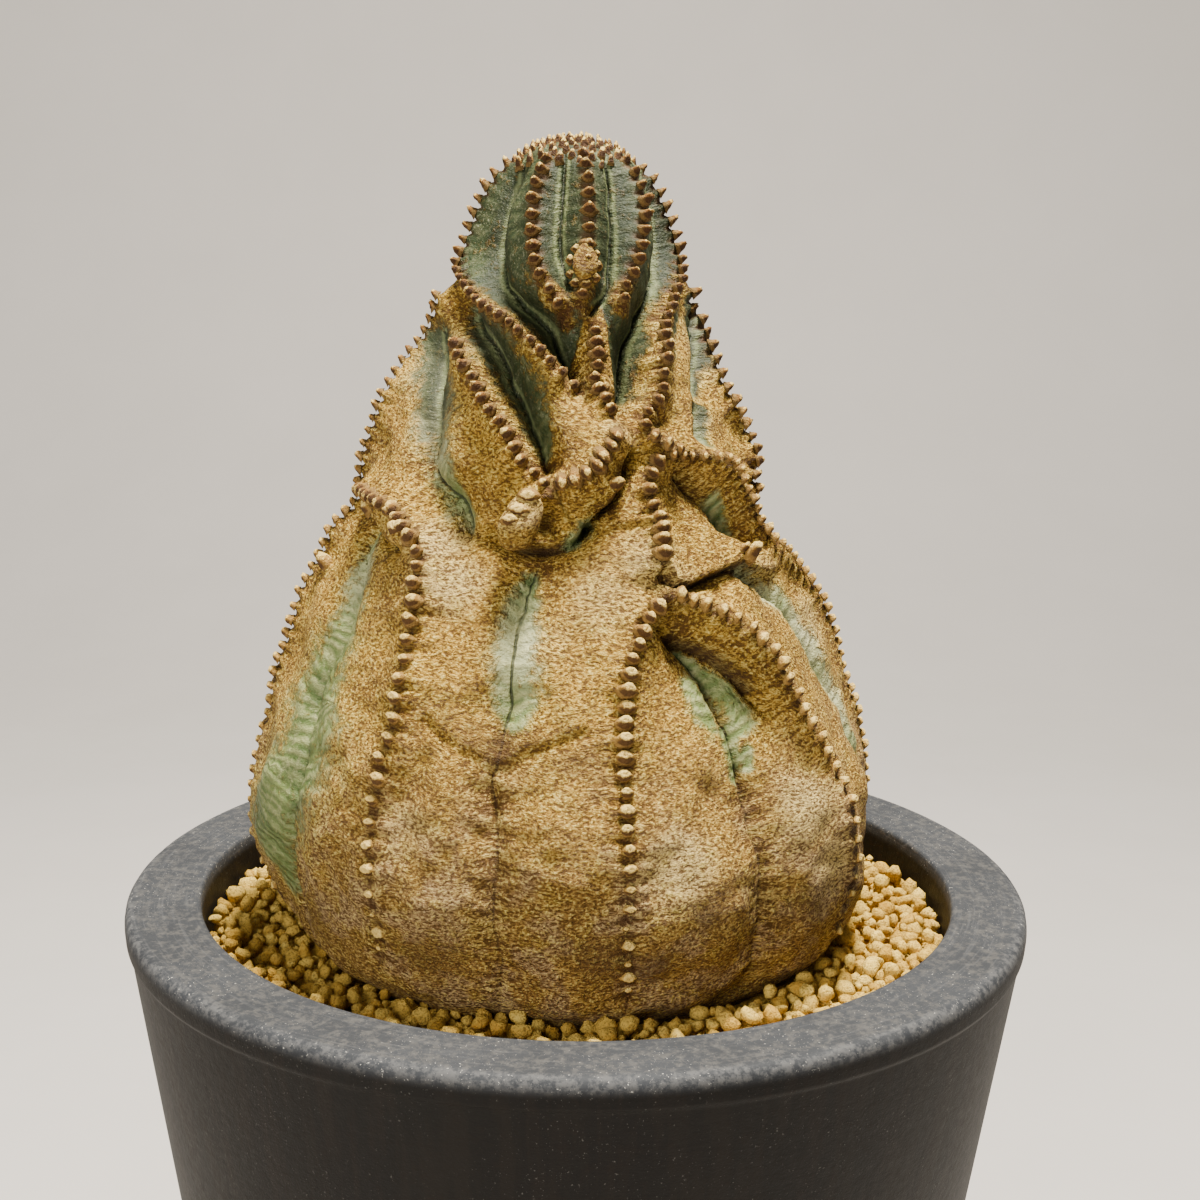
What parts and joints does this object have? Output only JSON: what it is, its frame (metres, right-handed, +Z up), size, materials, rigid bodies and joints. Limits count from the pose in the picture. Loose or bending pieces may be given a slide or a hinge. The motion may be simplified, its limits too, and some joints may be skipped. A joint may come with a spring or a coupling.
{
  "type": "potted baseball plant",
  "caption": "Old baseball plant: a small ribbed green head on a wide, folded tan body lined with rows of tubercles, standing in yellow clay grit in a round black plastic pot.",
  "frame": {"origin": "centre of the pot's foot, on the surface it stands on", "axes": "+Z up along the pot's axis; the side with the V-shaped ribs faces -Y"},
  "size_m": [0.15, 0.15, 0.2539],
  "materials": {
    "pot_plastic": "semi-matt charcoal, scuffed along the rim",
    "clay_grit": "dusty yellow-brown clay granules",
    "plant_skin": "leathery golden tan with grey-green windows along the creases and rows of corky red-brown tubercles"
  },
  "bodies": {
    "root": {"pot": "pot_plastic", "soil": "clay_grit", "plant": "plant_skin"}
  },
  "joints": []
}
